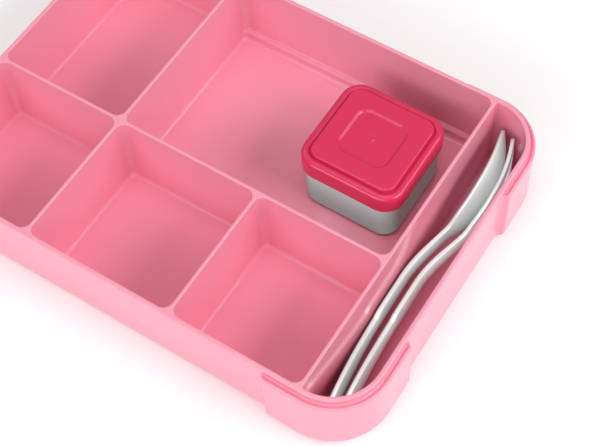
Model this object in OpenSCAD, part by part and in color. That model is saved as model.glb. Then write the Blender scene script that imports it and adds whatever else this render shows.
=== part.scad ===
// Open bento lunch box: a one-piece moulded base with five food compartments and a cutlery slot,
// a small lidded sauce pot, a spoon and a fork.
// Origin: middle of the base's underside. +X runs to the cutlery slot, +Y to the back, +Z up.

/* [Base] */
// Length of the base over its walls, without the corner pads
base_l = 242; // [234:1:250]
// Width of the base over its walls, without the corner pads
base_w = 174; // [166:1:182]
// Height of the base
base_h = 40.5; // [39.5:0.5:44]
// Radius of the base's outer corners
corner_r = 25; // [22:0.5:27]
// Thickness of the outer wall at the rim
wall_t = 2.3; // [2:0.1:2.8]
// Thickness of the floor
floor_t = 2; // [1.6:0.1:2.4]
// Radius of the outer edge between wall and underside
bottom_r = 5; // [4:0.5:5.5]

/* [Compartments] */
// Width of the two left compartments, from the wall to the middle of the first divider
left_w = 69.4; // [64:0.2:70]
// Pitch from the first divider to the second
middle_w = 76.8; // [72:0.2:77]
// Pitch from the second divider to the slot's divider
right_w = 66.6; // [64:0.2:67]
// Depth of the front row, from the front wall to the middle of the long divider
front_d = 70; // [66:0.5:74]
// Thickness of a divider at its top
divider_t = 1.7; // [1.4:0.1:2]
// Draft of every inner wall, in degrees
draft = 2.9; // [2:0.1:3]
// Corner radius of a compartment, seen from above
pocket_r = 4.5; // [4:0.5:6]
// Radius between wall and floor inside a compartment
fillet_r = 2.5; // [2:0.5:3]
// Width of the step along the back of the large compartment
step_w = 2.6; // [2:0.2:3]
// Height of that step above the floor
step_h = 5; // [4:0.5:6]

/* [Corner pads] */
// How far a pad stands out from the wall
pad_proud = 2.8; // [2.4:0.2:3.2]
// Length of each arm of a pad, from the outer corner
pad_arm = 46.5; // [42:0.5:50]
// How far a pad's top lies below the rim
pad_drop = 3.2; // [2.8:0.2:4]
// Width of the groove between a pad and the rim
groove_w = 1.7; // [1.4:0.1:1.8]
// Depth of that groove
groove_d = 1.6; // [1:0.2:2]

/* [Sauce pot] */
// Outer size of the square lid
lid_size = 54; // [53.6:0.2:55]
// Height of the pot with its lid on
pot_h = 36; // [35.5:0.5:37]
// Height of the steel body
body_h = 31.2; // [30.5:0.1:31.5]
// Size of the steel body at its mouth
mouth_size = 50.4; // [49.8:0.2:50.6]
// Size of the steel body at its foot
foot_size = 49.8; // [48.8:0.2:50]
// Thickness of the steel
steel_t = 0.8; // [0.7:0.1:1]
// Height of the lid's rounded skirt, from its lower edge to its shoulder
skirt_h = 10.2; // [9.8:0.1:10.4]

/* [Cutlery] */
// Length of the spoon
spoon_l = 160; // [156:1:161]
// Length of the fork
fork_l = 152; // [148:1:153]
// Thickness of a bowl or a fork's head
cutlery_t = 1.8; // [1.6:0.1:2.2]
// Thickness of a handle
handle_t = 4.2; // [3.8:0.1:4.4]
// Width of a handle at its end
handle_w = 13; // [12:0.5:14]
// Width of the spoon's bowl
bowl_w = 27; // [25:0.5:28]
// Depth of the spoon's bowl
bowl_d = 5.5; // [5:0.25:6]
// Width of the fork's head
fork_w = 24; // [22:0.5:24.5]

/* [Hidden] */

// Facets of a quarter circle in the plan view, and of a fillet in section
arc_steps = 7;
fillet_steps = 3;
// Small overlap that keeps faces from coinciding
eps = 0.5;

half_l = base_l / 2;
half_w = base_w / 2;
// Inner faces of the outer walls at the rim
in_x = half_l - wall_t;
in_y = half_w - wall_t;
// Middles of the dividers
first_x = -in_x + left_w;
second_x = first_x + middle_w;
slot_x = second_x + right_w;
long_y = -in_y + front_d;
half_t = divider_t / 2;
inner_r = corner_r - wall_t;
// Smallest corner radius of a compartment
sharp_r = 1.2;
// How far the back wall's draft has brought it in where the step meets it
step_setback = 2;

// The sauce pot stands in the large compartment
pot_x = 55.2;
pot_y = 38.4;
// Corner radii of the lid, of the steel body at its mouth and at its foot, and its lower edge
lid_r = 10.5;
mouth_r = 8.5;
foot_r = 8.3;
pot_edge_r = 2.2;
// Play between the lid and the steel body
lid_gap = 0.15;
// The lid's shoulder, gutter and raised panel; the two insets count from the lid's outline
shoulder_r = 2.8;
gutter_in = 4.4;
gutter_depth = 1;
panel_in = 4.9;
panel_edge = 0.8;
panel_rise = 1.3;
// The square recess in the panel, and the nub at its middle
recess_size = 26.6;
recess_depth = 1;
recess_r = 5.5;
recess_taper = 0.5;
nub_r = 0.8;
nub_h = 0.4;
nub_root = 0.2;

// The cutlery stands on its edge in the slot, with its tips at the back
spoon_x = 98.65;
fork_x = 105.5;
spoon_end_y = -78;
fork_end_y = -73;
// Height of a handle's middle at its end, a little above the floor
rest_gap = 0.8;
handle_rest = floor_t + rest_gap + handle_w / 2;
// Rise of each piece towards its tip, and how it leans, in degrees
slope = 0.085;
lean = 2;
// Sideways bend of each piece: at the handle's end, from handle to head, and at the tip
spoon_bends = [4.2, 8.4, 6];
fork_bends = [2.4, 9.7, 7.6];
// Exponent of the head's outline towards the neck, and towards the tip: an oval bowl, a square-ended fork
neck_outline = 2.2;
bowl_outline = 2.2;
fork_outline = 7;
// Depth of the fork's head, and its tines
fork_d = 1;
tine_l = 32;
tine_gap = 2.2;
tine_pitch = 5.6;

// Shares of a piece's length, from the handle's end (0) to the tip (1):
// the rounded end, the small stop on the handle and the middle of the head
end_share = 0.04;
stop_at = 0.3;
stop_share = 0.01;
head_mid = 0.815;
// where the handle starts and stops to narrow, and where it has passed into the head
narrow_from = 0.05;
narrow_to = 0.5;
head_from = 0.66;
head_full = 0.76;
// where the curl at the end stops, where the swing to the head starts and stops, and where the tip hooks
curl_to = 0.34;
swing_from = 0.44;
swing_to = 0.75;
hook_from = 0.78;
// where the thick handle starts and stops to thin out
thin_from = 0.52;
thin_to = 0.74;
// How much half the handle's width loses before the stop, gains at the stop and loses after it
narrowing = 2.6;
stop_rise = 1.2;
slimming = 1;
// Share of the thickness that goes towards a handle's edges, before the square root
edge_thinning = 0.7;
// Shares that keep the two ends from running out to nothing
end_blunt = 0.98;
head_blunt = 0.998;
// Rings along a piece, and points across each face
stations = 48;
across = 8;

PINK = [0.96, 0.56, 0.67];
CRIMSON = [0.84, 0.2, 0.36];
STEEL = [0.72, 0.73, 0.73];

// ---- Shared shapes ----

// Points of a rectangle whose corners have their own radii: [front left, front right, back right, back left]
function rounded(x0, x1, y0, y1, radii) =
    [for (corner = [0:3])
        let (r = radii[corner],
             cx = (corner == 0 || corner == 3) ? x0 + r : x1 - r,
             cy = (corner == 0 || corner == 1) ? y0 + r : y1 - r)
        for (step = [0:arc_steps])
            let (a = 180 + 90 * corner + 90 * step / arc_steps)
            [cx + r * cos(a), cy + r * sin(a)]];

// The same rectangle moved in by an inset, with its corner radii reduced to suit and to fit its width
function inset_ring(box, radii, inset, z) =
    let (room = min(box[1] - box[0], box[3] - box[2]) - 2 * inset - 1.1 * sharp_r)
    [for (p = rounded(box[0] + inset, box[1] - inset, box[2] + inset, box[3] - inset,
                      [for (r = radii) min(max(r - inset, sharp_r), room)]))
        [p[0], p[1], z]];

// A closed solid through a stack of rings with equal numbers of points, from the lowest up
module loft(rings) {
    n = len(rings[0]);
    last = len(rings) - 1;
    sides = [for (k = [0:last - 1]) for (i = [0:n - 1])
        [k * n + i, (k + 1) * n + i, (k + 1) * n + (i + 1) % n, k * n + (i + 1) % n]];
    floor_face = [[for (i = [0:n - 1]) i]];
    roof_face = [[for (i = [n - 1:-1:0]) last * n + i]];
    polyhedron(points = [for (ring = rings) for (p = ring) p], faces = concat(floor_face, sides, roof_face),
               convexity = 6);
}

// Insets and heights of a quarter-round edge of radius r that starts at height z
function quarter(r, z, start) =
    [for (k = [0:fillet_steps])
        let (a = 90 * k / fillet_steps)
        [start + r * (1 - sin(a)), z + r * (1 - cos(a))]];

// ---- Base ----

// The space of one compartment, tapering towards its floor
module pocket(box, radii) {
    wall_foot = floor_t + fillet_r;
    foot_inset = (base_h - wall_foot) * tan(draft);
    top = base_h + eps;
    loft(concat(
        [for (q = quarter(fillet_r, floor_t, foot_inset)) inset_ring(box, radii, q[0], q[1])],
        [inset_ring(box, radii, 0, base_h), inset_ring(box, radii, 0, top)]));
}

// The large compartment, whose back wall has a step at its foot
module stepped_pocket(box, radii) {
    step_top = floor_t + step_h;
    intersection() {
        pocket(box, radii);
        union() {
            translate([box[0] - eps, box[2] - eps, step_top])
                cube([box[1] - box[0] + 2 * eps, box[3] - box[2] + 2 * eps, base_h]);
            translate([box[0] - eps, box[2] - eps, 0])
                cube([box[1] - box[0] + 2 * eps, box[3] - box[2] + eps - step_w - step_setback, base_h]);
        }
    }
}

module compartments() {
    front = [-in_y, long_y - half_t];
    back = [long_y + half_t, in_y];
    r = pocket_r;
    pocket([-in_x, first_x - half_t, front[0], front[1]], [inner_r, r, r, r]);
    pocket([-in_x, first_x - half_t, back[0], back[1]], [r, r, r, inner_r]);
    pocket([first_x + half_t, second_x - half_t, front[0], front[1]], [r, r, r, r]);
    pocket([second_x + half_t, slot_x - half_t, front[0], front[1]], [r, r, r, r]);
    stepped_pocket([first_x + half_t, slot_x - half_t, back[0], back[1]], [r, r, r, r]);
    pocket([slot_x + half_t, in_x, -in_y, in_y], [sharp_r, inner_r, inner_r, sharp_r]);
}

// The outer form, grown outwards by a margin and cut off at a height
module shell(margin, top) {
    box = [-half_l, half_l, -half_w, half_w];
    radii = [corner_r, corner_r, corner_r, corner_r];
    loft(concat(
        [for (q = quarter(bottom_r, 0, 0)) inset_ring(box, radii, q[0] - margin, q[1])],
        [inset_ring(box, radii, -margin, top)]));
}

// Blocks that hold the four corners, where the pads are
module corner_zones() {
    reach = pad_arm - pad_proud;
    for (side_x = [-1, 1], side_y = [-1, 1])
        translate([side_x * half_l, side_y * half_w, base_h / 2])
            cube([2 * reach, 2 * reach, 2 * base_h], center = true);
}

module pads() {
    pad_top = base_h - pad_drop;
    groove_foot = pad_top - groove_d;
    intersection() {
        difference() {
            shell(pad_proud, pad_top);
            difference() {
                translate([0, 0, groove_foot]) prism(groove_w, 2 * groove_d);
                translate([0, 0, groove_foot - eps]) prism(0, 4 * groove_d);
            }
        }
        corner_zones();
    }
}

// A straight-sided form of the base's outline, grown by a margin
module prism(margin, height) {
    linear_extrude(height)
        polygon(rounded(-half_l - margin, half_l + margin, -half_w - margin, half_w + margin,
                        [for (i = [0:3]) corner_r + margin]));
}

module base_tray() {
    color(PINK)
    difference() {
        union() {
            shell(0, base_h);
            pads();
        }
        compartments();
    }
}

// ---- Sauce pot ----

// A square ring around the pot's axis
function square_ring(size, r, z) =
    [for (p = rounded(pot_x - size / 2, pot_x + size / 2, pot_y - size / 2, pot_y + size / 2, [r, r, r, r]))
        [p[0], p[1], z]];

// The pot's form between its foot and its mouth, moved in by the steel's thickness for the inside
module cup(inset, foot_z, top_z) {
    loft(concat(
        [for (q = quarter(pot_edge_r - inset / 2, foot_z, 0))
            square_ring(foot_size - 2 * inset - 2 * q[0], foot_r - inset - q[0], q[1])],
        [square_ring(mouth_size - 2 * inset, mouth_r - inset, top_z)]));
}

module sauce_pot() {
    color(STEEL)
    difference() {
        cup(0, floor_t, floor_t + body_h);
        cup(steel_t, floor_t + steel_t, floor_t + body_h + eps);
    }
}

// A ring of the lid, moved in from its outline
function lid_ring(inset, z) = square_ring(lid_size - 2 * inset, lid_r - inset, z);

// The lid: a skirt with a rounded shoulder, a gutter, and a panel with a square recess and a small nub
module sauce_pot_lid() {
    top_z = floor_t + pot_h;
    shoulder_z = top_z - panel_rise;
    skirt_z = shoulder_z - skirt_h;
    mouth = mouth_size + 2 * lid_gap;
    color(CRIMSON)
    difference() {
        loft(concat(
            [lid_ring(0, skirt_z)],
            [for (step = [0:fillet_steps])
                let (a = 90 * step / fillet_steps)
                lid_ring(shoulder_r * (1 - cos(a)), shoulder_z - shoulder_r * (1 - sin(a)))],
            [lid_ring(gutter_in, shoulder_z - gutter_depth),
             lid_ring(panel_in, top_z - panel_edge),
             lid_ring(panel_in + panel_edge, top_z)]));
        loft([
            square_ring(recess_size - 2 * recess_taper, recess_r - recess_taper, top_z - recess_depth),
            square_ring(recess_size, recess_r, top_z + eps)]);
        loft([
            square_ring(mouth, mouth_r + lid_gap, skirt_z - eps),
            square_ring(mouth, mouth_r + lid_gap, floor_t + body_h + lid_gap)]);
    }
    color(CRIMSON)
    translate([pot_x, pot_y, top_z - recess_depth - nub_root])
        cylinder(r = nub_r, h = nub_root + nub_h, $fn = 24);
}

// ---- Cutlery ----

// Each piece stands on its edge; t is the share of its length, from the handle's end (0) to the tip (1)

// Smooth step from 0 to 1 as t goes from a to b
function ease(t, a, b) = let (u = min(max((t - a) / (b - a), 0), 1)) u * u * (3 - 2 * u);

// Place within the head: -1 at the neck, 0 in the middle, 1 at the tip
function in_head(t) = min(max((t - head_mid) / (1 - head_mid), -1), 1);

// Half the width of a handle: wide at its end, a small stop that rests on a plate's edge, then slimmer
function handle_half(t) =
    handle_w / 2
    - narrowing * ease(t, narrow_from, stop_at)
    + stop_rise * ease(t, stop_at - stop_share, stop_at + stop_share)
    - slimming * ease(t, stop_at + 2 * stop_share, narrow_to);

// Half the width of the whole piece
function half_width(t, head_w, outline) =
    let (end = sqrt(1 - end_blunt * pow(1 - min(t / end_share, 1), 2)),
         power = in_head(t) > 0 ? outline : neck_outline,
         head = head_w / 2 * sqrt(1 - head_blunt * pow(abs(in_head(t)), power)))
    end * max(handle_half(t) * (1 - ease(t, head_from, head_full)), head);

// Sideways course of the piece: curled end, swing from handle to head, hooked tip
function course(t, bends) =
    bends[0] * pow(max(1 - t / curl_to, 0), 2)
    + bends[1] * ease(t, swing_from, swing_to)
    - bends[2] * pow(max((t - hook_from) / (1 - hook_from), 0), 2);

// How deep the head is dished
function dish(t, depth) = depth * (1 - pow(abs(in_head(t)), 2));

// Thickness of the piece, from a thick handle to a thin head, thinner towards both edges of the handle
function thickness(t, u) =
    let (thick = handle_t * sqrt(1 - edge_thinning * u * u))
    cutlery_t + (thick - cutlery_t) * (1 - ease(t, thin_from, thin_to));

// Points across the piece at t, on the face that lies half its thickness to one side;
// seat holds its place, the place of its end and its length, head its width, its outline and its depth
function face_points(t, seat, head, bends, side) =
    [for (i = [0:across])
        let (u = -1 + 2 * i / across,
             rise = u * half_width(t, head[0], head[1]))
        [seat[0] + course(t, bends) + dish(t, head[2]) * (1 - u * u) + side * thickness(t, u) / 2
         - rise * tan(lean),
         seat[1] + t * seat[2],
         handle_rest + t * seat[2] * slope + rise]];

function reversed(points) = [for (i = [len(points) - 1:-1:0]) points[i]];

// One whole piece
module cutlery(seat, head, bends) {
    loft_along([for (k = [0:stations])
        let (t = k / stations)
        concat(face_points(t, seat, head, bends, 1),
               reversed(face_points(t, seat, head, bends, -1)))]);
}

// A closed solid through a row of rings that runs towards the back
module loft_along(rings) {
    n = len(rings[0]);
    last = len(rings) - 1;
    near = [for (k = [0:last - 1]) for (i = [0:n - 1])
        [k * n + i, k * n + (i + 1) % n, (k + 1) * n + i]];
    far = [for (k = [0:last - 1]) for (i = [0:n - 1])
        [k * n + (i + 1) % n, (k + 1) * n + (i + 1) % n, (k + 1) * n + i]];
    front_cap = [for (i = [0:n / 2 - 2]) [i + 1, i, n - 1 - i, n - 2 - i]];
    back_cap = [for (i = [0:n / 2 - 2]) [for (j = [i, i + 1, n - 2 - i, n - 1 - i]) last * n + j]];
    polyhedron(points = [for (ring = rings) for (p = ring) p], faces = concat(front_cap, near, far, back_cap),
               convexity = 8);
}

module spoon() {
    color(STEEL) cutlery([spoon_x, spoon_end_y, spoon_l], [bowl_w, bowl_outline, bowl_d], spoon_bends);
}

module fork() {
    tip_y = fork_end_y + fork_l;
    tines_mid_z = handle_rest + (fork_l - tine_l / 2) * slope;
    cut_w = 20;
    beyond = 5;
    color(STEEL)
    difference() {
        cutlery([fork_x, fork_end_y, fork_l], [fork_w, fork_outline, fork_d], fork_bends);
        for (k = [-1:1])
            translate([fork_x - eps, tip_y - tine_l, tines_mid_z + k * tine_pitch - tine_gap / 2])
                cube([cut_w, tine_l + beyond, tine_gap]);
    }
}

base_tray();
sauce_pot();
sauce_pot_lid();
spoon();
fork();
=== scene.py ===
"""Looks of the open bento lunch box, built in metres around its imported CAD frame."""
import math

import bmesh
import bpy
from mathutils import Matrix, Vector
from mathutils.geometry import delaunay_2d_cdt


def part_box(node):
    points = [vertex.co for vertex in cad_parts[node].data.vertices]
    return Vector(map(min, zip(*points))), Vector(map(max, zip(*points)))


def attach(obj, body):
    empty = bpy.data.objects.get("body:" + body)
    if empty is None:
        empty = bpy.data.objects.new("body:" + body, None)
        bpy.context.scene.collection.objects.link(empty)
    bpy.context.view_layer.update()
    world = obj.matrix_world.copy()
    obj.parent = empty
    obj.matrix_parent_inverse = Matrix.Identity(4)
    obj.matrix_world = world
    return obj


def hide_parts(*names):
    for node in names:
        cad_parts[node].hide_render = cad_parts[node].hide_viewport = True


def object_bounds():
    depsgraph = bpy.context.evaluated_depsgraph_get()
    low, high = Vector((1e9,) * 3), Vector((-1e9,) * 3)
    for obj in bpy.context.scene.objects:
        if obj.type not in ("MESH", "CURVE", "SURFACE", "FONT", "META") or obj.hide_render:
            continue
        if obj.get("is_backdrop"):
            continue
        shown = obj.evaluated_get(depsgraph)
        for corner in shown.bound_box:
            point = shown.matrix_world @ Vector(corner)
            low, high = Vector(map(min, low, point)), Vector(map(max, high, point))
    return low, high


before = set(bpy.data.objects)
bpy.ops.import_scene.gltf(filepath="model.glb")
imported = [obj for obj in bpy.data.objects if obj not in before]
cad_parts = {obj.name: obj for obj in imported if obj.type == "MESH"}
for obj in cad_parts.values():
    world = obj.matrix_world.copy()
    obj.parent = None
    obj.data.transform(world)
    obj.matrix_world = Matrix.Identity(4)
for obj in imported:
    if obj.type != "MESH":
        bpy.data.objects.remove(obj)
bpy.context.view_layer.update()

MM = 0.001

# ---- Sizes in millimetres; places come from the CAD boxes ----
PAD_PROUD = 2.8
PAD_ARM = 46.5
CORNER_R = 25.0
WALL_T = 2.3
FLOOR_T = 2.0
BOTTOM_R = 5.0
LEFT_W = 69.4
MIDDLE_W = 76.8
RIGHT_W = 66.6
FRONT_D = 70.0
DIVIDER_T = 1.7
DRAFT = math.radians(2.9)
POCKET_R = 4.5
SHARP_R = 1.2
LIP_R = 0.5
RIM_R = 0.9
FOOT_R = 2.0
STEP_W = 2.6
STEP_H = 5.0
STEP_EDGE_R = 0.6
STEP_GAP = 0.02
FLOOR_MARGIN = 2.5
ARC_STEPS = 18

# ---- The corner pads: where one begins along a side, and the groove above it as (offset, drop) ----
PAD_START = -1.9
PAD_END = 1.1
PAD_STATIONS = 11
GROOVE = (
    (-0.1, 1.2), (-0.45, 1.7), (-0.65, 2.4), (-0.6, 3.2), (-0.3, 3.9),
    (0.2, 4.3), (0.75, 4.25), (1.15, 3.95), (1.4, 3.6), (1.7, 3.4),
    (2.05, 3.42), (2.4, 3.6), (2.65, 3.95), (2.78, 4.4), (2.8, 5.0),
)
WALL_MIDDLE_Z = 22.0
WALL_FOOT_GAP = 0.6

# ---- Least radius of a rounded square that is moved far in ----
LEAST_R = 2.0

# ---- Sauce pot ----
POT_TAPER = 0.6
POT_STEEL_T = 0.8
POT_EDGE_R = 2.2
POT_INNER_R = 3.0
POT_MOUTH_R = 8.5
POT_FOOT_R = 8.3
POT_LIP_STEPS = 8
# The raised middle of the pot's underside, as (inset, rise)
POT_FOOT_DIMPLE = ((7.0, 0.6), (4.6, 0.55), (3.8, 0.3), (3.2, 0.0))

# ---- Sauce pot lid; the profiles are pairs of (inset, rise) or (inset, drop) ----
LID_R = 10.5
SKIRT_H = 10.2
SHOULDER_R = 2.8
SKIRT_WALL = 1.65
SKIRT_WALL_RISES = (4.0, 0.7)
CEILING_H = 6.85
# Rings of the ceiling under the lid, as (inset, corner radius)
CEILING = ((SKIRT_WALL, None), (6.0, None), (14.0, 5.0))
SKIRT_EDGE = ((1.5, 0.2), (1.2, 0.0), (0.5, 0.0), (0.15, 0.25), (0.0, 0.8))
GUTTER = ((3.2, 0.06), (3.6, 0.25), (4.0, 0.6), (4.3, 0.95), (4.42, 1.02), (4.48, 1.02), (4.52, 0.96))
PANEL_INSET = 4.7
PANEL_EDGE = 0.9
PANEL_FOOT = 0.3
RECESS_HALF = 13.3
RECESS_R = 5.8
RECESS_FLOOR = (8.0, 4.0)
RECESS_FLOOR_ROUNDING = 0.6
RECESS = (
    (-0.7, 0.0), (-0.35, 0.04), (-0.1, 0.15), (0.15, 0.35),
    (0.4, 0.6), (0.6, 0.8), (0.8, 0.92), (1.1, 1.0),
)
# The nub and the ring pressed round it, as (radius, drop); they are squares rounded almost to circles
NUB_ROUNDING = 0.995
NUB = ((1.9, 0.0), (1.5, 0.12), (1.2, 0.12), (0.95, -0.2), (0.7, -0.42), (0.4, -0.5), (0.15, -0.52))

# ---- Cutlery; places along a piece are shares of its length, from the handle's end to the tip ----
HANDLE_W = 13.0
HANDLE_T = 4.2
HEAD_T = 1.8
EDGE_THINNING = 0.85
END_SHARE = 0.04
END_BLUNT = 0.98
NARROW_FROM = 0.05
NARROW_TO = 0.5
NARROWING = 2.6
SLIMMING = 1.0
STOP_AT = 0.3
STOP_SHARE = 0.01
STOP_RISE = 1.2
HEAD_FROM = 0.66
HEAD_MID = 0.815
HEAD_FULL = 0.76
HEAD_BLUNT = 0.998
NECK_OUTLINE = 2.2
CURL_TO = 0.34
SWING_FROM = 0.44
SWING_TO = 0.75
HOOK_FROM = 0.78
THIN_FROM = 0.52
THIN_TO = 0.74
TINE_L = 32.0
# Places along a piece that get a row of points
END_ROWS = (0.0, 0.006, 0.014, 0.025)
TIP_ROWS = (0.98, 0.988, 0.994, 0.998)
BODY_SHARE = 0.93
BODY_ROWS = 54
STOP_SPACING = 0.006
LEAN = math.radians(2)
SLOPE = 0.085
# Sideways bends: at the handle's end, from handle to head, and at the tip
SPOON_BENDS = (4.2, 8.4, 6.0)
FORK_BENDS = (2.4, 9.7, 7.6)
# Width, outline and depth of the head
SPOON_HEAD = (27.0, 2.2, 5.5)
FORK_HEAD = (24.0, 7.0, 1.0)
# Places across a piece, from -1 at its lower edge to 1 at its upper edge, and the fork's gaps among them
SPOON_ACROSS = (-1, -0.95, -0.8, -0.55, -0.28, 0, 0.28, 0.55, 0.8, 0.95, 1)
FORK_ACROSS = (-1, -0.93, -0.66, -0.59, -0.38, -0.31, -0.1, 0.1, 0.31, 0.38, 0.59, 0.66, 0.93, 1)
FORK_GAPS = (3, 6, 9)

# ---- Surfaces: noise scales are per metre, depths and reaches in metres ----
MOTTLE_SCALE = 28.0
SHEEN_SCALE = 90.0
SKIN_SCALE = 2200.0
SKIN_STRENGTH = 0.05
SKIN_DEPTH = 0.00004
CLOUD_SCALE = 40.0
SCRATCH_SCALE = 260.0
SCRATCH_STRENGTH = 0.06
SCRATCH_DEPTH = 0.00005
STEEL_METALLIC = 0.35
PLASTIC_IOR = 1.5
# How far mottling and sheen swing, as shares of the noise's middle and of the gloss
NOISE_MIDDLE = (0.3, 0.7)
SHEEN_MIDDLE = (0.25, 0.75)
PLASTIC_SHEEN = (0.85, 1.25)
STEEL_SHEEN = (0.8, 1.25)
SHADE_SAMPLES = 6
EDGE_LOW = 0.53
EDGE_HIGH = 0.62
PLASTIC_WEAR = 0.35
STEEL_WEAR = 0.3
# How far the painted shade of deep places reaches, and the openness at which it is full and gone
SHADE_REACH = 0.025
PLASTIC_SHADE = (0.05, 0.38)
STEEL_SHADE = (0.2, 0.9)
# Shares of the pot's height between which the painted shade at its foot gives way to its own colour
PAINTED_FOOT_SHADE = (-0.05, 0.95)

# ---- Stage ----
FLOOR_REACH = 3.0
FLOOR_Z = -0.0002
FLOOR_TONE = 0.93
FLOOR_GLOW = 0.11
BACKDROP_STRENGTH = 0.32

# ---- Camera: place from the middle of the box's underside, in metres ----
CAMERA_PLACE = (0.23185, -0.26662, 0.54831)
CAMERA_AZIMUTH = 32.68
CAMERA_ELEVATION = 58.97
CAMERA_ROLL = -1.21
CAMERA_LENS = 81.5
CAMERA_SHIFT = (-0.072, 0.0)
CAMERA_CLIP = (0.01, 20)

# ---- Lights: name, azimuth, elevation, distance, size and power ----
PANELS = (
    ("front_left", -13, 28, 1.6, (0.75, 0.6), 5.6),
    ("front_soft", 16, 38, 1.6, (1.0, 0.7), 5),
    ("right", 92, 39, 1.6, (0.7, 0.5), 7.9),
    ("back_right", 122, 34, 1.6, (0.7, 0.6), 4.5),
    ("left", -90, 40, 1.6, (0.7, 0.7), 2.0),
    ("top", 0, 89, 1.6, (0.9, 0.9), 4.3),
)
# These reach only the steel
POT_FILL = ("pot_fill", -6, 40, 1.4, (0.6, 0.6), 68)
POT_SIDE_FILL = ("pot_side_fill", 88, 40, 1.4, (0.6, 0.6), 21)
CUTLERY_FILL = ("cutlery_fill", 40, 62, 1.4, (0.6, 0.6), 34)


def box_mm(node):
    """Lowest and highest corner of a CAD node, in millimetres."""
    low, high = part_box(node)
    return Vector(low) / MM, Vector(high) / MM


# ---------------------------------------------------------------- mesh helpers

def rounded(rect, radii):
    """Points round a rectangle (x0, x1, y0, y1), corner by corner from the front left."""
    x0, x1, y0, y1 = rect
    points = []
    for corner, r in enumerate(radii):
        cx = x0 + r if corner in (0, 3) else x1 - r
        cy = y0 + r if corner in (0, 1) else y1 - r
        for step in range(ARC_STEPS + 1):
            a = math.radians(180 + 90 * corner + 90 * step / ARC_STEPS)
            points.append((cx + r * math.cos(a), cy + r * math.sin(a)))
    return points


def inset_ring(rect, radii, inset, z, back=0.0):
    """The rectangle moved in by an inset, at height z; back moves its back side in further."""
    x0, x1, y0, y1 = rect
    room = min(x1 - x0, y1 - y0) - 2 * inset - 1.1 * max(SHARP_R - inset, SHARP_R)
    fitted = [min(max(r - inset, SHARP_R), room) for r in radii]
    inner = (x0 + inset, x1 - inset, y0 + inset, y1 - inset - back)
    return [(x, y, z) for x, y in rounded(inner, fitted)]


def ease(t, a, b):
    """Smooth step from 0 to 1 while t goes from a to b."""
    u = min(max((t - a) / (b - a), 0), 1)
    return u * u * (3 - 2 * u)


def quarter_turn(count):
    """Angles from 0 to 90 degrees in equal steps."""
    return [math.radians(90 * k / count) for k in range(count + 1)]


def add_ring(bm, points):
    """Vertices at a ring of points given in millimetres."""
    return [bm.verts.new(Vector(p) * MM) for p in points]


def bridge(bm, lower, upper):
    """Quads between two rings of equal length."""
    n = len(lower)
    for i in range(n):
        j = (i + 1) % n
        bm.faces.new((lower[i], lower[j], upper[j], upper[i]))


def loft(bm, rings):
    """Vertices of a stack of rings, joined by quads."""
    made = [add_ring(bm, ring) for ring in rings]
    for lower, upper in zip(made, made[1:]):
        bridge(bm, lower, upper)
    return made


def inside(point, loop):
    """Whether a point lies in a closed loop of points, seen from above."""
    hit = False
    for a, b in zip(loop, loop[1:] + loop[:1]):
        if (a.y > point.y) != (b.y > point.y):
            if point.x < (b.x - a.x) * (point.y - a.y) / (b.y - a.y) + a.x:
                hit = not hit
    return hit


def fill_between(bm, outer, holes):
    """Flat triangles between an outer ring of vertices and the rings of its holes."""
    verts = []
    edges = []
    loops = []
    for ring in [outer] + holes:
        start = len(verts)
        verts += ring
        edges += [(start + i, start + (i + 1) % len(ring)) for i in range(len(ring))]
        loops.append([v.co.xy.copy() for v in ring])
    flat = [v.co.xy / MM for v in verts]
    _, _, faces, origins, _, _ = delaunay_2d_cdt(flat, edges, [], 0, 1e-6, True)
    for face in faces:
        corners = [verts[origins[i][0]] for i in face]
        middle = sum((v.co.xy for v in corners), Vector((0, 0))) / len(corners)
        if inside(middle, loops[0]) and not any(inside(middle, loop) for loop in loops[1:]):
            bm.faces.new(corners)


def finish_mesh(bm, name, body, replaced, material):
    """Turns a bmesh into a smooth piece that rides on a body."""
    bmesh.ops.recalc_face_normals(bm, faces=bm.faces)
    mesh = bpy.data.meshes.new(name)
    bm.to_mesh(mesh)
    bm.free()
    for polygon in mesh.polygons:
        polygon.use_smooth = True
    piece = bpy.data.objects.new(name, mesh)
    bpy.context.scene.collection.objects.link(piece)
    mesh.materials.append(material)
    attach(piece, body)
    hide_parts(replaced)
    return piece


def weight_normals(piece):
    """Keeps the large flat faces flat, so only the rounded edges turn."""
    modifier = piece.modifiers.new("weighted_normals", "WEIGHTED_NORMAL")
    modifier.mode = "FACE_AREA"
    modifier.weight = 100
    modifier.keep_sharp = False


# ---------------------------------------------------------------- materials

def new_material(name):
    material = bpy.data.materials.new(name)
    material.use_nodes = True
    tree = material.node_tree
    shader = tree.nodes["Principled BSDF"]
    return material, tree, shader


def noise(tree, scale, detail=4.0, stretch=(1, 1, 1)):
    """Object-space noise; a larger stretch makes it finer along that axis."""
    coords = tree.nodes.new("ShaderNodeTexCoord")
    mapping = tree.nodes.new("ShaderNodeMapping")
    texture = tree.nodes.new("ShaderNodeTexNoise")
    mapping.inputs["Scale"].default_value = stretch
    texture.inputs["Scale"].default_value = scale
    texture.inputs["Detail"].default_value = detail
    tree.links.new(coords.outputs["Object"], mapping.inputs["Vector"])
    tree.links.new(mapping.outputs["Vector"], texture.inputs["Vector"])
    return texture.outputs["Fac"]


def ranged(tree, value, low, high, start=0.0, end=1.0):
    """A value that goes from low to high while the given one goes from start to end."""
    node = tree.nodes.new("ShaderNodeMapRange")
    node.inputs["From Min"].default_value = start
    node.inputs["From Max"].default_value = end
    node.inputs["To Min"].default_value = low
    node.inputs["To Max"].default_value = high
    tree.links.new(value, node.inputs["Value"])
    return node.outputs["Result"]


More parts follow.
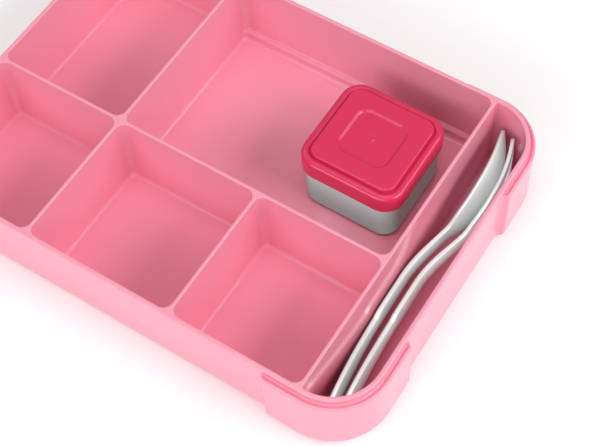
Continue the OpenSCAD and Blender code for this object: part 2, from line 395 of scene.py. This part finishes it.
def mixed(tree, factor, first, second):
    """A colour between two, by a factor socket."""
    node = tree.nodes.new("ShaderNodeMix")
    node.data_type = "RGBA"
    for socket, value in (("A", first), ("B", second)):
        target = [s for s in node.inputs if s.name == socket and s.type == "RGBA"][0]
        if isinstance(value, tuple):
            target.default_value = (*value, 1)
        else:
            tree.links.new(value, target)
    tree.links.new(factor, node.inputs["Factor"])
    return [s for s in node.outputs if s.type == "RGBA"][0]


def edge_mask(tree, most):
    """Up to a given amount on convex edges, where handling polishes or pales the surface."""
    geometry = tree.nodes.new("ShaderNodeNewGeometry")
    convex = ranged(tree, geometry.outputs["Pointiness"], 0, 1, EDGE_LOW, EDGE_HIGH)
    return ranged(tree, convex, 0, most)


def bumped(tree, shader, height, strength, distance):
    node = tree.nodes.new("ShaderNodeBump")
    node.inputs["Strength"].default_value = strength
    node.inputs["Distance"].default_value = distance
    tree.links.new(height, node.inputs["Height"])
    tree.links.new(node.outputs["Normal"], shader.inputs["Normal"])


def openness(tree, low, high):
    """Mask for painted shade: 1 in the open and 0 deep in a slot or close to another piece, between two
    shares of open space.
    """
    node = tree.nodes.new("ShaderNodeAmbientOcclusion")
    node.samples = SHADE_SAMPLES
    node.inputs["Distance"].default_value = SHADE_REACH
    return ranged(tree, node.outputs["AO"], 0, 1, low, high)


def moulded_plastic(name, colour, deep, worn, painted_shade, gloss):
    """Glossy moulded plastic: faint mottling, fine skin texture, paler edges, and painted shade that makes
    the colour deeper in deep places and near other pieces.
    """
    material, tree, shader = new_material(name)
    mottled = mixed(tree, ranged(tree, noise(tree, MOTTLE_SCALE), 0, 1, *NOISE_MIDDLE), deep, colour)
    tinted = mixed(tree, edge_mask(tree, PLASTIC_WEAR), mottled, worn)
    # painted shade: the colour turns to the shade colour where there is little open space round the surface
    with_painted_shade = mixed(tree, openness(tree, *PLASTIC_SHADE), painted_shade, tinted)
    tree.links.new(with_painted_shade, shader.inputs["Base Color"])
    low, high = (gloss * share for share in PLASTIC_SHEEN)
    rough = ranged(tree, noise(tree, SHEEN_SCALE, 6.0), low, high, *SHEEN_MIDDLE)
    tree.links.new(rough, shader.inputs["Roughness"])
    shader.inputs["IOR"].default_value = PLASTIC_IOR
    bumped(tree, shader, noise(tree, SKIN_SCALE, 2.0), SKIN_STRENGTH, SKIN_DEPTH)
    return material


def height_share(tree, low, high):
    """0 at the piece's foot and 1 at its top, between two shares of its height."""
    coords = tree.nodes.new("ShaderNodeTexCoord")
    split = tree.nodes.new("ShaderNodeSeparateXYZ")
    tree.links.new(coords.outputs["Generated"], split.inputs["Vector"])
    return ranged(tree, split.outputs["Z"], 0, 1, low, high)


def brushed_steel(name, colour, dark, worn, painted_shade, gloss, stretch, foot=None):
    """Brushed steel with fine drawn-out scratches and painted shade in deep places; if it has a foot
    colour, painted shade also darkens it towards its foot.
    """
    material, tree, shader = new_material(name)
    scratches = noise(tree, SCRATCH_SCALE, 8.0, stretch)
    cloudy = ranged(tree, noise(tree, CLOUD_SCALE), 0, 1, *NOISE_MIDDLE)
    base = mixed(tree, cloudy, dark, colour)
    if foot:
        # painted shade: the steel is darker towards the pot's foot
        base = mixed(tree, height_share(tree, *PAINTED_FOOT_SHADE), foot, base)
    polished = mixed(tree, edge_mask(tree, STEEL_WEAR), base, worn)
    # painted shade: the colour turns to the shade colour where there is little open space round the surface
    with_painted_shade = mixed(tree, openness(tree, *STEEL_SHADE), painted_shade, polished)
    tree.links.new(with_painted_shade, shader.inputs["Base Color"])
    shader.inputs["Metallic"].default_value = STEEL_METALLIC
    low, high = (gloss * share for share in STEEL_SHEEN)
    rough = ranged(tree, scratches, low, high, *NOISE_MIDDLE)
    tree.links.new(rough, shader.inputs["Roughness"])
    bumped(tree, shader, scratches, SCRATCH_STRENGTH, SCRATCH_DEPTH)
    return material


# The shade colours of these materials are painted shade for deep places and places near other pieces
PINK = moulded_plastic("pink_plastic", colour=(0.95, 0.356, 0.478), deep=(0.93, 0.342, 0.463),
                       worn=(0.97, 0.47, 0.59), painted_shade=(0.94, 0.23, 0.38), gloss=0.13)
CRIMSON = moulded_plastic("crimson_plastic", colour=(0.73, 0.034, 0.11), deep=(0.71, 0.031, 0.102),
                          worn=(0.76, 0.08, 0.17), painted_shade=(0.58, 0.014, 0.055), gloss=0.2)
# The pot's foot colour is painted shade that darkens the steel towards its foot
POT_STEEL = brushed_steel("pot_steel", colour=(0.235, 0.274, 0.268), dark=(0.225, 0.262, 0.256),
                          worn=(0.32, 0.335, 0.335), painted_shade=(0.13, 0.145, 0.143), gloss=0.36,
                          stretch=(1, 1, 12), foot=(0.05, 0.058, 0.057))
CUTLERY_STEEL = brushed_steel("cutlery_steel", colour=(0.43, 0.455, 0.448), dark=(0.41, 0.435, 0.428),
                              worn=(0.56, 0.58, 0.575), painted_shade=(0.42, 0.45, 0.443), gloss=0.42,
                              stretch=(10, 1, 10))


# ---------------------------------------------------------------- base tray

def wall_inset(z, top):
    """How far a drafted inner wall stands in at height z."""
    return (top - z) * math.tan(DRAFT)


def pocket_rings(rect, radii, top, stepped):
    """Rings of one compartment from the land round its mouth down to its floor."""
    rings = []
    for a in quarter_turn(5):
        lip_z = top - LIP_R * (1 - math.cos(a))
        rings.append(inset_ring(rect, radii, -LIP_R * (1 - math.sin(a)), lip_z))
    back = 0.0
    if stepped:
        step_top = FLOOR_T + STEP_H
        for a in quarter_turn(4):
            z = step_top + STEP_GAP + STEP_EDGE_R * (1 - math.sin(a))
            rings.append(inset_ring(rect, radii, wall_inset(z, top), z, STEP_EDGE_R * (1 - math.cos(a))))
        for a in quarter_turn(4):
            z = step_top - STEP_EDGE_R * (1 - math.cos(a))
            back = STEP_W - STEP_EDGE_R * (1 - math.sin(a))
            rings.append(inset_ring(rect, radii, wall_inset(z, top), z, back))
        back = STEP_W
    start_z = FLOOR_T + FOOT_R
    start = wall_inset(start_z, top)
    for a in quarter_turn(8):
        foot_z = start_z - FOOT_R * math.sin(a)
        rings.append(inset_ring(rect, radii, start + FOOT_R * (1 - math.cos(a)), foot_z, back))
    rings.append(inset_ring(rect, radii, start + FOOT_R + FLOOR_MARGIN, FLOOR_T, back))
    return rings


def perimeter(half_l, half_w):
    """Stations round the outer wall: place, outward normal and how much of a pad is there."""
    end_x = half_l + PAD_PROUD - PAD_ARM
    end_y = half_w + PAD_PROUD - PAD_ARM
    spacing = (PAD_END - PAD_START) / (PAD_STATIONS - 1)
    near_end = [PAD_START + spacing * k for k in range(PAD_STATIONS)]

    def side(end, tangent):
        """Distances along one side from its middle, with the pad share at each."""
        half = [(0.0, 0.0), (end * 0.5, 0.0)]
        for d in near_end:
            half.append((end + d, ease(d, PAD_START, PAD_END)))
        for k in range(1, 4):
            half.append((end + (tangent - end) * k / 4, 1.0))
        return [(-d, w) for d, w in reversed(half[1:])] + half

    x_side = side(end_x, half_l - CORNER_R)
    y_side = side(end_y, half_w - CORNER_R)
    stations = []
    turns = [Vector((0, -1)), Vector((1, 0)), Vector((0, 1)), Vector((-1, 0))]
    for k, normal in enumerate(turns):
        along = Vector((-normal.y, normal.x))
        reach = half_w if k % 2 == 0 else half_l
        for d, w in (x_side if k % 2 == 0 else y_side):
            stations.append((normal * reach + along * d, normal, w))
        following = turns[(k + 1) % 4]
        outwards = normal + following
        centre = Vector(((half_l - CORNER_R) * outwards.x, (half_w - CORNER_R) * outwards.y))
        for step in range(ARC_STEPS * 2 + 1):
            a = math.radians(90 * step / (ARC_STEPS * 2))
            n = normal * math.cos(a) + following * math.sin(a)
            stations.append((centre + n * CORNER_R, n, 1.0))
    return stations


def outer_profile(top):
    """Pairs of (offset, height) down the outer wall, on the plain wall and on a pad."""
    pairs = []
    for a in quarter_turn(5):
        point = (-RIM_R * (1 - math.sin(a)), top - RIM_R * (1 - math.cos(a)))
        pairs.append((point, point))
    first_drop = GROOVE[0][1]
    last_drop = GROOVE[-1][1]
    for k, (offset, drop) in enumerate(GROOVE):
        plain_drop = first_drop + (last_drop - first_drop) * k / (len(GROOVE) - 1)
        pairs.append(((0.0, top - plain_drop), (offset, top - drop)))
    for z in (WALL_MIDDLE_Z, BOTTOM_R + WALL_FOOT_GAP):
        pairs.append(((0.0, z), (PAD_PROUD, z)))
    for a in quarter_turn(7):
        offset = -BOTTOM_R * (1 - math.cos(a))
        z = BOTTOM_R * (1 - math.sin(a))
        pairs.append(((offset, z), (PAD_PROUD + offset, z)))
    return pairs


def outer_rings(half_l, half_w, top):
    """Rings of the outer wall from the rim down, blended between the plain wall and the pads."""
    rings = []
    stations = perimeter(half_l, half_w)
    for plain, padded in outer_profile(top):
        ring = []
        for place, normal, share in stations:
            offset = plain[0] + (padded[0] - plain[0]) * share
            z = plain[1] + (padded[1] - plain[1]) * share
            spot = place + normal * offset
            ring.append((spot.x, spot.y, z))
        rings.append(ring)
    return rings


def make_tray():
    """The box: six pockets let into a rounded block with a pad at each corner."""
    low, high = box_mm("base_tray")
    top = high.z
    half_l = high.x - PAD_PROUD
    half_w = high.y - PAD_PROUD
    in_x = half_l - WALL_T
    in_y = half_w - WALL_T
    first = -in_x + LEFT_W
    second = first + MIDDLE_W
    slot = second + RIGHT_W
    long = -in_y + FRONT_D
    t = DIVIDER_T / 2
    r = POCKET_R
    big = CORNER_R - WALL_T
    pockets = [
        ((-in_x, first - t, -in_y, long - t), (big, r, r, r), False),
        ((-in_x, first - t, long + t, in_y), (r, r, r, big), False),
        ((first + t, second - t, -in_y, long - t), (r, r, r, r), False),
        ((second + t, slot - t, -in_y, long - t), (r, r, r, r), False),
        ((first + t, slot - t, long + t, in_y), (r, r, r, r), True),
        ((slot + t, in_x, -in_y, in_y), (SHARP_R, big, big, SHARP_R), False),
    ]
    bm = bmesh.new()
    mouths = []
    for rect, radii, stepped in pockets:
        made = loft(bm, pocket_rings(rect, radii, top, stepped))
        bm.faces.new(made[-1])
        mouths.append(made[0])
    made = loft(bm, outer_rings(half_l, half_w, top))
    bm.faces.new(made[-1])
    fill_between(bm, made[0], mouths)
    tray = finish_mesh(bm, "tray_moulding", "box", "base_tray", PINK)
    weight_normals(tray)


# ---------------------------------------------------------------- sauce pot

def square(centre, size, r, z):
    """A rounded square ring round a centre, at height z."""
    half = size / 2
    rect = (centre.x - half, centre.x + half, centre.y - half, centre.y + half)
    return [(x, y, z) for x, y in rounded(rect, (r,) * 4)]


def make_pot():
    """Pressed steel cup with a rolled mouth, a slight taper and a rounded foot."""
    low, high = box_mm("sauce_pot")
    centre = (low + high) / 2
    mouth = high.x - low.x
    foot = mouth - POT_TAPER
    height = high.z - low.z

    def wall(inset, z):
        share = (z - low.z) / height
        return square(centre, foot + (mouth - foot) * share - 2 * inset,
                      POT_FOOT_R + (POT_MOUTH_R - POT_FOOT_R) * share - inset, z)

    def base(inset, z):
        return square(centre, foot - 2 * inset, max(POT_FOOT_R - inset, LEAST_R), z)

    rings = [base(inset, low.z + rise) for inset, rise in POT_FOOT_DIMPLE]
    for a in quarter_turn(8):
        rings.append(base(POT_EDGE_R * (1 - math.sin(a)), low.z + POT_EDGE_R * (1 - math.cos(a))))
    rings.append(wall(0, (low.z + high.z) / 2))
    lip = POT_STEEL_T / 2
    for k in range(POT_LIP_STEPS + 1):
        a = math.pi * k / POT_LIP_STEPS
        rings.append(wall(lip * (1 - math.cos(a)), high.z - lip + lip * math.sin(a)))
    for a in quarter_turn(8):
        inset = POT_STEEL_T + POT_INNER_R * (1 - math.cos(a))
        rings.append(base(inset, low.z + POT_STEEL_T + POT_INNER_R * (1 - math.sin(a))))
    rings.append(base(POT_FOOT_DIMPLE[0][0], low.z + POT_STEEL_T))
    bm = bmesh.new()
    made = loft(bm, rings)
    bm.faces.new(made[0])
    bm.faces.new(made[-1])
    pot = finish_mesh(bm, "pot_body", "pot", "sauce_pot", POT_STEEL)
    weight_normals(pot)
    return pot


def make_lid():
    """Push-on lid: skirt with a rounded shoulder, gutter, panel with a square recess and a nub."""
    low, high = box_mm("sauce_pot_lid")
    centre = (low + high) / 2
    size = high.x - low.x
    top = high.z
    shoulder = low.z + SKIRT_H

    def ring(inset, z, radius=None):
        return square(centre, size - 2 * inset, radius or max(LID_R - inset, LEAST_R), z)

    rings = [ring(SKIRT_WALL, low.z + rise) for rise in SKIRT_WALL_RISES]
    for inset, rise in SKIRT_EDGE:
        rings.append(ring(inset, low.z + rise))
    for a in quarter_turn(8):
        rings.append(ring(SHOULDER_R * (1 - math.cos(a)), shoulder - SHOULDER_R * (1 - math.sin(a))))
    for inset, drop in GUTTER:
        rings.append(ring(inset, shoulder - drop))
    rings.append(ring(PANEL_INSET, top - PANEL_EDGE - PANEL_FOOT))
    for a in quarter_turn(6):
        inset = PANEL_INSET + PANEL_EDGE * (1 - math.cos(a))
        rings.append(ring(inset, top - PANEL_EDGE * (1 - math.sin(a))))
    for inset, drop in RECESS:
        rings.append(ring(size / 2 - RECESS_HALF + inset, top - drop, RECESS_R - inset))
    depth = RECESS[-1][1]
    for half_size in RECESS_FLOOR:
        rings.append(square(centre, half_size * 2, half_size * RECESS_FLOOR_ROUNDING, top - depth))
    for radius, drop in NUB:
        rings.append(square(centre, radius * 2, radius * NUB_ROUNDING, top - depth - drop))
    bm = bmesh.new()
    made = loft(bm, rings)
    bm.faces.new(made[-1])
    ceiling = low.z + CEILING_H
    under = loft(bm, [ring(inset, ceiling, radius) for inset, radius in CEILING])
    bridge(bm, made[0], under[0])
    bm.faces.new(under[-1])
    lid = finish_mesh(bm, "pot_lid_moulding", "pot_lid", "sauce_pot_lid", CRIMSON)
    weight_normals(lid)


# ---------------------------------------------------------------- cutlery

def in_head(t):
    """Place within the head: -1 at the neck, 0 in the middle, 1 at the tip."""
    return min(max((t - HEAD_MID) / (1 - HEAD_MID), -1), 1)


def half_width(t, head_w, outline):
    """Half the width at a share t of the length: rounded end, small stop, slim handle, head."""
    end = math.sqrt(1 - END_BLUNT * (1 - min(t / END_SHARE, 1)) ** 2)
    handle = HANDLE_W / 2 - NARROWING * ease(t, NARROW_FROM, STOP_AT)
    handle += STOP_RISE * ease(t, STOP_AT - STOP_SHARE, STOP_AT + STOP_SHARE)
    handle -= SLIMMING * ease(t, STOP_AT + 2 * STOP_SHARE, NARROW_TO)
    power = outline if in_head(t) > 0 else NECK_OUTLINE
    head = head_w / 2 * math.sqrt(1 - HEAD_BLUNT * abs(in_head(t)) ** power)
    return end * max(handle * (1 - ease(t, HEAD_FROM, HEAD_FULL)), head)


def surface_point(t, u, length, head, bends):
    """A point of the middle surface, u from -1 to 1 across; head is its width, outline and depth."""
    rise = u * half_width(t, head[0], head[1])
    course = bends[0] * max(1 - t / CURL_TO, 0) ** 2 + bends[1] * ease(t, SWING_FROM, SWING_TO)
    course -= bends[2] * max((t - HOOK_FROM) / (1 - HOOK_FROM), 0) ** 2
    dish = head[2] * (1 - in_head(t) ** 2) * (1 - u * u)
    return Vector((course + dish - rise * math.tan(LEAN), t * length, t * length * SLOPE + rise))


def thickness(t, u):
    """Thick, rounded handle that runs out into a thin head."""
    thick = HANDLE_T * math.sqrt(1 - EDGE_THINNING * u * u)
    return HEAD_T + (thick - HEAD_T) * (1 - ease(t, THIN_FROM, THIN_TO))


def along_shares():
    """Shares of the length with a row of points: closer together at both ends and at the stop."""
    even = [END_SHARE + BODY_SHARE * k / BODY_ROWS for k in range(BODY_ROWS + 1)]
    body = [t for t in even if abs(t - STOP_AT) > 2 * STOP_SHARE]
    stop = [STOP_AT + STOP_SPACING * k for k in range(-3, 4)]
    return sorted([*END_ROWS, *body, *stop, *TIP_ROWS])


def cutlery_piece(name, node, body, head, bends, across, gaps=()):
    """A curved sheet with a thickness at each point and rounded edges, centred on its CAD box.

    The box of the sheet is widened by half the thickness at each point, as the CAD box is.
    """
    low, high = box_mm(node)
    length = high.y - low.y
    shares = along_shares()
    points = [[surface_point(t, u, length, head, bends) for u in across] for t in shares]
    flat = [p for row in points for p in row]
    own_low = Vector([min(p[i] for p in flat) for i in range(3)])
    own_high = Vector([max(p[i] for p in flat) for i in range(3)])
    halves = [thickness(t, u) / 2 for t in shares for u in across]
    own_low.x = min(p.x - half for p, half in zip(flat, halves))
    own_high.x = max(p.x + half for p, half in zip(flat, halves))
    shift = (low + high) / 2 - (own_low + own_high) / 2
    bm = bmesh.new()
    share_layer = bm.verts.layers.deform.verify()
    rows = []
    for t, row in zip(shares, points):
        rows.append([])
        for u, point in zip(across, row):
            vert = bm.verts.new((point + shift) * MM)
            vert[share_layer][0] = thickness(t, u) / HANDLE_T
            rows[-1].append(vert)
    cut_from = 1 - TINE_L / length
    for k in range(len(rows) - 1):
        for i in range(len(across) - 1):
            if not (i in gaps and shares[k] > cut_from):
                bm.faces.new((rows[k][i], rows[k][i + 1], rows[k + 1][i + 1], rows[k + 1][i]))
    bmesh.ops.delete(bm, geom=[v for v in bm.verts if not v.link_faces], context="VERTS")
    piece = finish_mesh(bm, name, body, node, CUTLERY_STEEL)
    piece.vertex_groups.new(name="thickness")
    thick = piece.modifiers.new("thickness", "SOLIDIFY")
    thick.thickness = HANDLE_T * MM
    thick.offset = 0
    thick.vertex_group = "thickness"
    smooth = piece.modifiers.new("rounding", "SUBSURF")
    smooth.levels = 2
    smooth.render_levels = 2
    return piece


def make_cutlery():
    spoon = cutlery_piece("spoon_steel", "spoon", "spoon", SPOON_HEAD, SPOON_BENDS, SPOON_ACROSS)
    fork = cutlery_piece("fork_steel", "fork", "fork", FORK_HEAD, FORK_BENDS, FORK_ACROSS, FORK_GAPS)
    return spoon, fork


make_tray()
pot_body = make_pot()
make_lid()
spoon_steel, fork_steel = make_cutlery()


# ---------------------------------------------------------------- stage, light, camera

def make_floor():
    """A pale floor with a faint glow, so it stays near white."""
    material, tree, shader = new_material("studio_floor")
    shader.inputs["Base Color"].default_value = (FLOOR_TONE, FLOOR_TONE, FLOOR_TONE, 1)
    shader.inputs["Roughness"].default_value = 0.9
    shader.inputs["Emission Color"].default_value = (1, 1, 1, 1)
    shader.inputs["Emission Strength"].default_value = FLOOR_GLOW
    bm = bmesh.new()
    sides = ((-1, -1), (1, -1), (1, 1), (-1, 1))
    corners = [bm.verts.new((x * FLOOR_REACH, y * FLOOR_REACH, FLOOR_Z)) for x, y in sides]
    bm.faces.new(corners)
    mesh = bpy.data.meshes.new("studio_floor")
    bm.to_mesh(mesh)
    bm.free()
    floor = bpy.data.objects.new("studio_floor", mesh)
    mesh.materials.append(material)
    bpy.context.scene.collection.objects.link(floor)
    floor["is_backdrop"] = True
    return floor


def direction(azimuth, elevation):
    """Unit vector from the object towards a place; azimuth 0 is in front, 90 to the right."""
    a = math.radians(azimuth)
    e = math.radians(elevation)
    return Vector((math.sin(a) * math.cos(e), -math.cos(a) * math.cos(e), math.sin(e)))


def add_light(name, azimuth, elevation, distance, size, power):
    """A soft white panel that faces the object; power is in watts, distance and size in metres."""
    data = bpy.data.lights.new(name, "AREA")
    data.shape = "RECTANGLE"
    data.size, data.size_y = size
    data.energy = power
    light = bpy.data.objects.new(name, data)
    towards = direction(azimuth, elevation)
    light.location = towards * distance
    light.rotation_mode = "QUATERNION"
    light.rotation_quaternion = towards.to_track_quat("Z", "Y")
    bpy.context.scene.collection.objects.link(light)
    return light


def light_only(light, pieces, floor):
    """Lets a light fall on the given pieces alone; nothing but the floor below them blocks it."""
    lit = bpy.data.collections.new(light.name + "_lit")
    for piece in pieces:
        lit.objects.link(piece)
    blocking = bpy.data.collections.new(light.name + "_blocking")
    blocking.objects.link(floor)
    light.light_linking.receiver_collection = lit
    light.light_linking.blocker_collection = blocking


def make_light(floor):
    """Soft panels all round, and three that only reach the steel, so the pink walls don't tint it."""
    world = bpy.data.worlds.new("studio")
    bpy.context.scene.world = world
    world.use_nodes = True
    backdrop = world.node_tree.nodes["Background"]
    backdrop.inputs["Color"].default_value = (1, 1, 1, 1)
    backdrop.inputs["Strength"].default_value = BACKDROP_STRENGTH
    for panel in PANELS:
        add_light(*panel)
    light_only(add_light(*POT_FILL), (pot_body,), floor)
    light_only(add_light(*POT_SIDE_FILL), (pot_body,), floor)
    light_only(add_light(*CUTLERY_FILL), (spoon_steel, fork_steel), floor)


def make_camera():
    """The camera, placed from the middle of the box's underside."""
    data = bpy.data.cameras.new("camera")
    data.lens = CAMERA_LENS
    data.shift_x, data.shift_y = CAMERA_SHIFT
    data.clip_start, data.clip_end = CAMERA_CLIP
    camera = bpy.data.objects.new("camera", data)
    low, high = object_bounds()
    middle = (low + high) / 2
    camera.location = Vector((middle.x, middle.y, low.z)) + Vector(CAMERA_PLACE)
    facing = direction(CAMERA_AZIMUTH, CAMERA_ELEVATION).to_track_quat("Z", "Y")
    camera.rotation_mode = "QUATERNION"
    camera.rotation_quaternion = facing @ Matrix.Rotation(math.radians(CAMERA_ROLL), 3, "Z").to_quaternion()
    bpy.context.scene.collection.objects.link(camera)
    bpy.context.scene.camera = camera


make_light(make_floor())
make_camera()
bpy.context.scene.view_settings.view_transform = "Standard"
